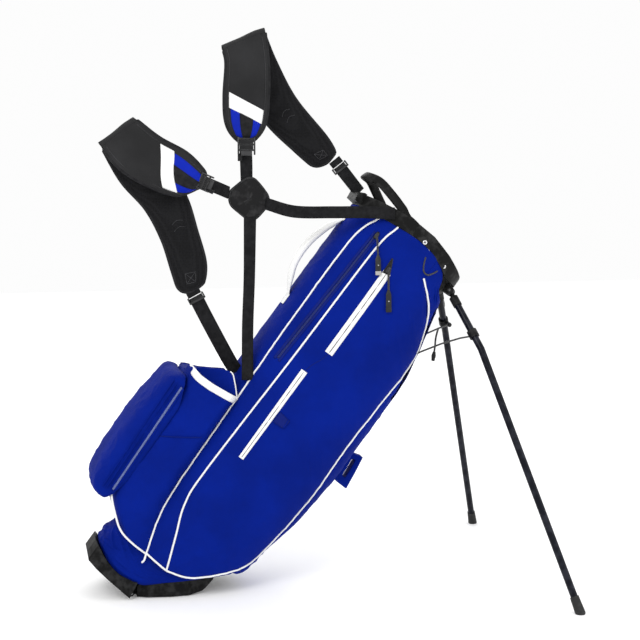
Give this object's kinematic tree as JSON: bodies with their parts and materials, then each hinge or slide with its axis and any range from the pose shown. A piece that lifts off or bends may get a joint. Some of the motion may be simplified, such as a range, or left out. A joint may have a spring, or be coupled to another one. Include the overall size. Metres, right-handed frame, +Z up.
{
  "type": "golf stand bag",
  "caption": "Slim golf stand bag leaning on a hinged foot plate and two splayed legs, with pockets on its sides and spine, moulded collar, divided club wells and shoulder harness.",
  "frame": {"origin": "on the ground, at the middle of the hinged foot plate's sole", "axes": "+Z up, +X from the foot plate towards the legs, the bag's right side faces -Y"},
  "size_m": [0.9735, 0.7392, 1.1678],
  "materials": {
    "blue_fabric": "woven polyester",
    "white_trim": "woven",
    "black_plastic": "satin moulded",
    "divider_fabric": "brushed",
    "stay_rod": "smooth",
    "rivet_steel": "bright",
    "blue_zip": "coil zip",
    "steel": "plain",
    "rubber": "matt",
    "leg_paint": "gloss",
    "black_rod": "satin",
    "cord": "braided",
    "pull_rubber": "moulded",
    "pad_fabric": "fine woven",
    "pad_mesh": "quilted mesh",
    "webbing": "webbing"
  },
  "bodies": {
    "root": {"spine_panel": "blue_fabric", "apparel_pocket_right": "blue_fabric", "apparel_pocket_left": "blue_fabric", "side_pocket_right": "blue_fabric", "side_pocket_left": "blue_fabric", "front_panel": "blue_fabric", "zips_right": "white_trim", "zips_left": "white_trim", "fabric_tabs": "blue_fabric", "piping_right": "white_trim", "piping_left": "white_trim", "collar": "black_plastic", "collar_divider": "divider_fabric", "divider_lateral": "divider_fabric", "divider_lengthwise": "divider_fabric", "body_stays": "stay_rod", "lift_handle": "black_plastic", "carry_handle": "white_trim", "collar_rivets": "rivet_steel", "bottle_pocket": "blue_fabric", "rear_pocket": "blue_fabric", "bottle_pocket_band": "white_trim", "ball_pocket": "blue_fabric", "ball_pocket_zip": "blue_zip", "base_rear": "black_plastic", "foot_hinge_pin": "steel", "skirt": "blue_fabric", "leg_hinge_housing": "black_plastic", "leg_hinge_pins": "steel", "elastic_loop": "cord", "shoulder_pad_left_front": "pad_fabric", "shoulder_pad_left_rear": "pad_mesh", "shoulder_pad_top_front": "pad_fabric", "shoulder_pad_top_rear": "pad_mesh", "webbing_hub_to_pads": "webbing", "webbing_hub_to_bag": "webbing", "webbing_pads_to_bag": "webbing", "strap_hub": "pad_fabric", "strap_ladder_locks": "black_plastic"},
    "foot": {"foot_tray": "black_plastic", "foot_pads": "rubber"},
    "leg_right": {"leg_head_right": "black_plastic", "leg_tube_right": "leg_paint", "leg_clip_right": "black_plastic", "leg_foot_right": "rubber"},
    "leg_left": {"leg_head_left": "black_plastic", "leg_tube_left": "leg_paint", "leg_clip_left": "black_plastic", "leg_foot_left": "rubber", "leg_elastic": "cord"},
    "push_rod": {"actuator_rod": "steel"},
    "link_right": {"leg_link_right": "black_rod"},
    "link_left": {"leg_link_left": "black_rod"},
    "tie_cord": {"leg_tie_cord": "cord", "tie_toggle": "black_plastic"},
    "zip_apparel": {"zip_pull_apparel": "pull_rubber"},
    "zip_side": {"zip_pull_side": "pull_rubber"},
    "bar_left": {"slide_bar_left": "black_plastic"},
    "bar_top": {"slide_bar_top": "black_plastic"}
  },
  "joints": [
    {"name": "leg_right_swing", "type": "hinge", "parent": "root", "child": "leg_right", "pos_m": [0.61202, -0.046, 0.62432], "axis": [-0.4099, -0.8582, 0.3089], "range_deg": [-49.5, 0]},
    {"name": "leg_left_swing", "type": "hinge", "parent": "root", "child": "leg_left", "pos_m": [0.61202, 0.046, 0.62432], "axis": [0.4099, -0.8582, -0.3089], "range_deg": [-49.5, 0]},
    {"name": "foot_hinge", "type": "hinge", "parent": "root", "child": "foot", "pos_m": [-0.078, 0, 0.008], "axis": [0, 1, 0], "range_deg": [0, 45], "deforming": ["skirt"]},
    {"name": "rod_slide", "type": "slide", "parent": "root", "child": "push_rod", "axis": [0.6018, 0, 0.7986], "range_m": [-0.0857, 0]},
    {"name": "link_right_swing", "type": "hinge", "parent": "leg_right", "child": "link_right", "pos_m": [0.64483, -0.11016, 0.53904], "axis": [-0.4099, -0.8582, 0.3089], "range_deg": [0, 78.5]},
    {"name": "link_left_swing", "type": "hinge", "parent": "leg_left", "child": "link_left", "pos_m": [0.64483, 0.11016, 0.53904], "axis": [0.4099, -0.8582, -0.3089], "range_deg": [0, 78.5]},
    {"name": "tie_cord_swing", "type": "hinge", "parent": "leg_left", "child": "tie_cord", "pos_m": [0.633, 0.11, 0.524], "axis": [0.4099, -0.8582, -0.3089], "range_deg": [0, 49.5]},
    {"name": "zip_apparel_slide", "type": "slide", "parent": "root", "child": "zip_apparel", "axis": [-0.633, -0.03, -0.7736], "range_m": [0, 0.06]},
    {"name": "zip_side_slide", "type": "slide", "parent": "root", "child": "zip_side", "axis": [-0.6008, -0.0574, -0.7973], "range_m": [0, 0.06]},
    {"name": "bar_left_slide", "type": "slide", "parent": "root", "child": "bar_left", "axis": [0.4585, 0.0348, -0.888], "range_m": [0, 0.045]},
    {"name": "bar_top_slide", "type": "slide", "parent": "root", "child": "bar_top", "axis": [0.5928, -0.1807, -0.7848], "range_m": [0, 0.035]}
  ],
  "couplings": [
    {"joint": "leg_left_swing", "follows": "leg_right_swing", "ratio": 1},
    {"joint": "foot_hinge", "follows": "leg_right_swing", "ratio": -0.90909},
    {"joint": "rod_slide", "follows": "leg_right_swing", "m_per_rad": 0.099081},
    {"joint": "link_right_swing", "follows": "leg_right_swing", "ratio": -1.5838},
    {"joint": "link_left_swing", "follows": "leg_right_swing", "ratio": -1.5838},
    {"joint": "tie_cord_swing", "follows": "leg_right_swing", "ratio": -0.999}
  ]
}
